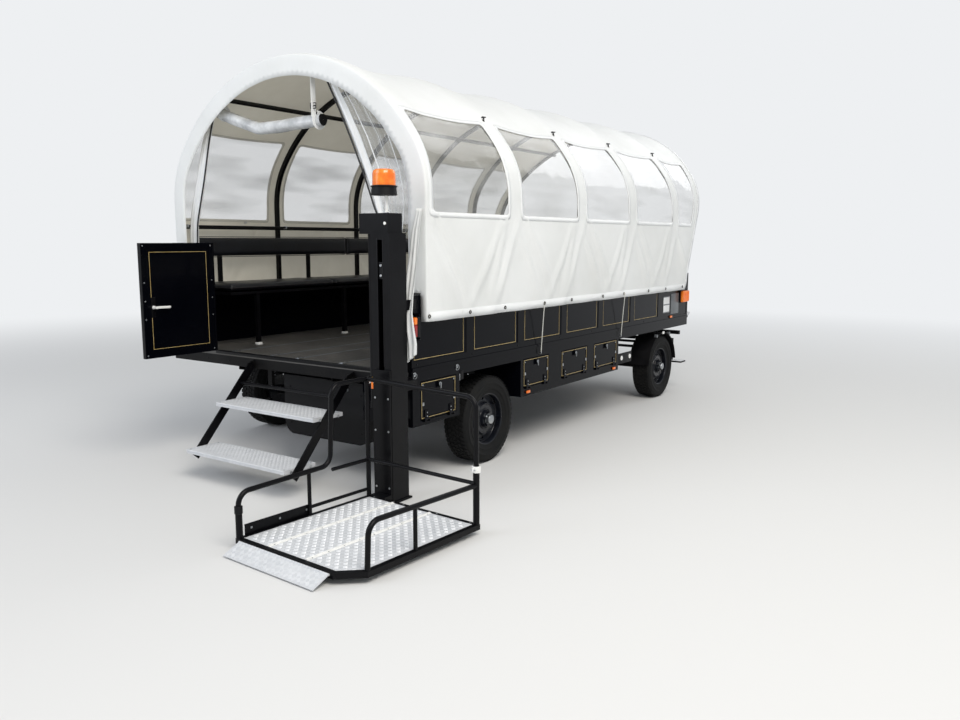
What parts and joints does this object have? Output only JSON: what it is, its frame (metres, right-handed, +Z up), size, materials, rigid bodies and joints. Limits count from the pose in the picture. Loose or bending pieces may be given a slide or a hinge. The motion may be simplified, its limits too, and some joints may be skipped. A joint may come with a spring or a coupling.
{
  "type": "horse-drawn covered wagon",
  "caption": "Passenger wagon on pneumatic tyres with an arched tarpaulin cover, steered fore-carriage, pole, folding rear steps, door and wheelchair lift.",
  "frame": {"origin": "on the ground, midway between the wheels, under the rear face of the cover's first hoop", "axes": "+X to the wagon's right, +Y forward along the pole, +Z up"},
  "size_m": [3.2575, 8.8554, 2.83],
  "materials": {
    "chassis_black": "satin",
    "floor_grey": "ribbed coated boards",
    "body_paint": "gloss",
    "tread_plate": "chequer plate",
    "hoop_steel": "satin",
    "canvas": "coated tarpaulin",
    "film": "clear",
    "rolled_canvas": "coated tarpaulin",
    "webbing": "woven",
    "bench_frame": "satin",
    "upholstery": "artificial leather",
    "seat_ply": "stained",
    "tail_lens": "gloss",
    "amber_lens": "gloss",
    "axle_black": "satin",
    "pump_black": "matte",
    "mast_paint": "satin",
    "beacon_black": "matte",
    "beacon_amber": "clear amber",
    "tyre_black": "rubber",
    "rim_black": "gloss",
    "handle_white": "gloss",
    "step_steel": "satin",
    "rail_steel": "satin"
  },
  "bodies": {
    "wagon": {"chassis": "chassis_black", "floor": "floor_grey", "side_board_right": "body_paint", "side_board_left": "body_paint", "front_board": "body_paint", "footboard": "tread_plate", "rear_panels": "body_paint", "lockers_right": "body_paint", "lockers_left": "body_paint", "hoops": "hoop_steel", "canopy": "canvas", "window_film": "film", "curtain_roll": "rolled_canvas", "curtain_straps": "webbing", "bench_frames": "bench_frame", "seat_pads": "upholstery", "backrests": "upholstery", "driver_seat": "seat_ply", "driver_cushions": "upholstery", "tail_lamps": "tail_lens", "front_lamps": "amber_lens", "side_markers": "amber_lens", "rear_axle": "axle_black", "pump_box": "pump_black", "lift_mast": "mast_paint", "beacon_base": "beacon_black", "beacon_dome": "beacon_amber"},
    "fore_carriage": {"fore_carriage": "chassis_black", "front_axle": "axle_black", "front_guards": "pump_black", "evener": "chassis_black"},
    "pole": {"pole": "chassis_black"},
    "wheel_rear_right": {"tyre_rear_right": "tyre_black", "rim_rear_right": "rim_black"},
    "wheel_rear_left": {"tyre_rear_left": "tyre_black", "rim_rear_left": "rim_black"},
    "wheel_front_right": {"tyre_front_right": "tyre_black", "rim_front_right": "rim_black"},
    "wheel_front_left": {"tyre_front_left": "tyre_black", "rim_front_left": "rim_black"},
    "door": {"door": "body_paint", "door_handle": "handle_white"},
    "steps": {"step_frame": "step_steel", "step_treads": "tread_plate"},
    "platform": {"lift_frame": "rail_steel", "lift_deck": "tread_plate"},
    "flap": {"ramp_flap": "tread_plate"},
    "locker_lid_right_1": {"locker_lid_right_1": "body_paint"},
    "locker_lid_right_2": {"locker_lid_right_2": "body_paint"},
    "locker_lid_right_3": {"locker_lid_right_3": "body_paint"},
    "locker_lid_right_4": {"locker_lid_right_4": "body_paint"},
    "locker_lid_left_1": {"locker_lid_left_1": "body_paint"},
    "locker_lid_left_2": {"locker_lid_left_2": "body_paint"},
    "locker_lid_left_3": {"locker_lid_left_3": "body_paint"}
  },
  "joints": [
    {"name": "steering", "type": "hinge", "parent": "wagon", "child": "fore_carriage", "pos_m": [0, 3.93, 0.593], "axis": [0, 0, 1], "range_deg": [-45, 45]},
    {"name": "pole_lift", "type": "hinge", "parent": "fore_carriage", "child": "pole", "pos_m": [0, 4.58, 0.533], "axis": [1, 0, 0], "range_deg": [-13, 14]},
    {"name": "rear_right_roll", "type": "hinge", "parent": "wagon", "child": "wheel_rear_right", "pos_m": [1.077, 0.804, 0.315], "axis": [1, 0, 0], "continuous": true},
    {"name": "rear_left_roll", "type": "hinge", "parent": "wagon", "child": "wheel_rear_left", "pos_m": [-1.077, 0.804, 0.315], "axis": [1, 0, 0], "continuous": true},
    {"name": "front_right_roll", "type": "hinge", "parent": "fore_carriage", "child": "wheel_front_right", "pos_m": [1.077, 3.93, 0.315], "axis": [1, 0, 0], "continuous": true},
    {"name": "front_left_roll", "type": "hinge", "parent": "fore_carriage", "child": "wheel_front_left", "pos_m": [-1.077, 3.93, 0.315], "axis": [1, 0, 0], "continuous": true},
    {"name": "door_hinge", "type": "hinge", "parent": "wagon", "child": "door", "pos_m": [-0.69, -0.116, 1.17], "axis": [0, 0, 1], "range_deg": [-75, 90]},
    {"name": "steps_fold", "type": "hinge", "parent": "wagon", "child": "steps", "pos_m": [0.215, -0.14, 0.69], "axis": [-1, 0, 0], "range_deg": [0, 110]},
    {"name": "lift_travel", "type": "slide", "parent": "wagon", "child": "platform", "axis": [0, 0, 1], "range_m": [0, 0.71]},
    {"name": "flap_hinge", "type": "hinge", "parent": "platform", "child": "flap", "pos_m": [1.44259, -1.40791, 0.05], "axis": [-0.9981, 0.061, 0], "range_deg": [0, 112]},
    {"name": "locker_lid_right_1_hinge", "type": "hinge", "parent": "wagon", "child": "locker_lid_right_1", "pos_m": [1.207, 0.171, 0.458], "axis": [0, 1, 0], "range_deg": [0, 160]},
    {"name": "locker_lid_right_2_hinge", "type": "hinge", "parent": "wagon", "child": "locker_lid_right_2", "pos_m": [1.207, 1.399, 0.492], "axis": [0, 1, 0], "range_deg": [0, 160]},
    {"name": "locker_lid_right_3_hinge", "type": "hinge", "parent": "wagon", "child": "locker_lid_right_3", "pos_m": [1.207, 2.015, 0.492], "axis": [0, 1, 0], "range_deg": [0, 160]},
    {"name": "locker_lid_right_4_hinge", "type": "hinge", "parent": "wagon", "child": "locker_lid_right_4", "pos_m": [1.207, 2.5875, 0.492], "axis": [0, 1, 0], "range_deg": [0, 160]},
    {"name": "locker_lid_left_1_hinge", "type": "hinge", "parent": "wagon", "child": "locker_lid_left_1", "pos_m": [-1.207, 1.399, 0.492], "axis": [0, -1, 0], "range_deg": [0, 160]},
    {"name": "locker_lid_left_2_hinge", "type": "hinge", "parent": "wagon", "child": "locker_lid_left_2", "pos_m": [-1.207, 2.015, 0.492], "axis": [0, -1, 0], "range_deg": [0, 160]},
    {"name": "locker_lid_left_3_hinge", "type": "hinge", "parent": "wagon", "child": "locker_lid_left_3", "pos_m": [-1.207, 2.5875, 0.492], "axis": [0, -1, 0], "range_deg": [0, 160]}
  ]
}
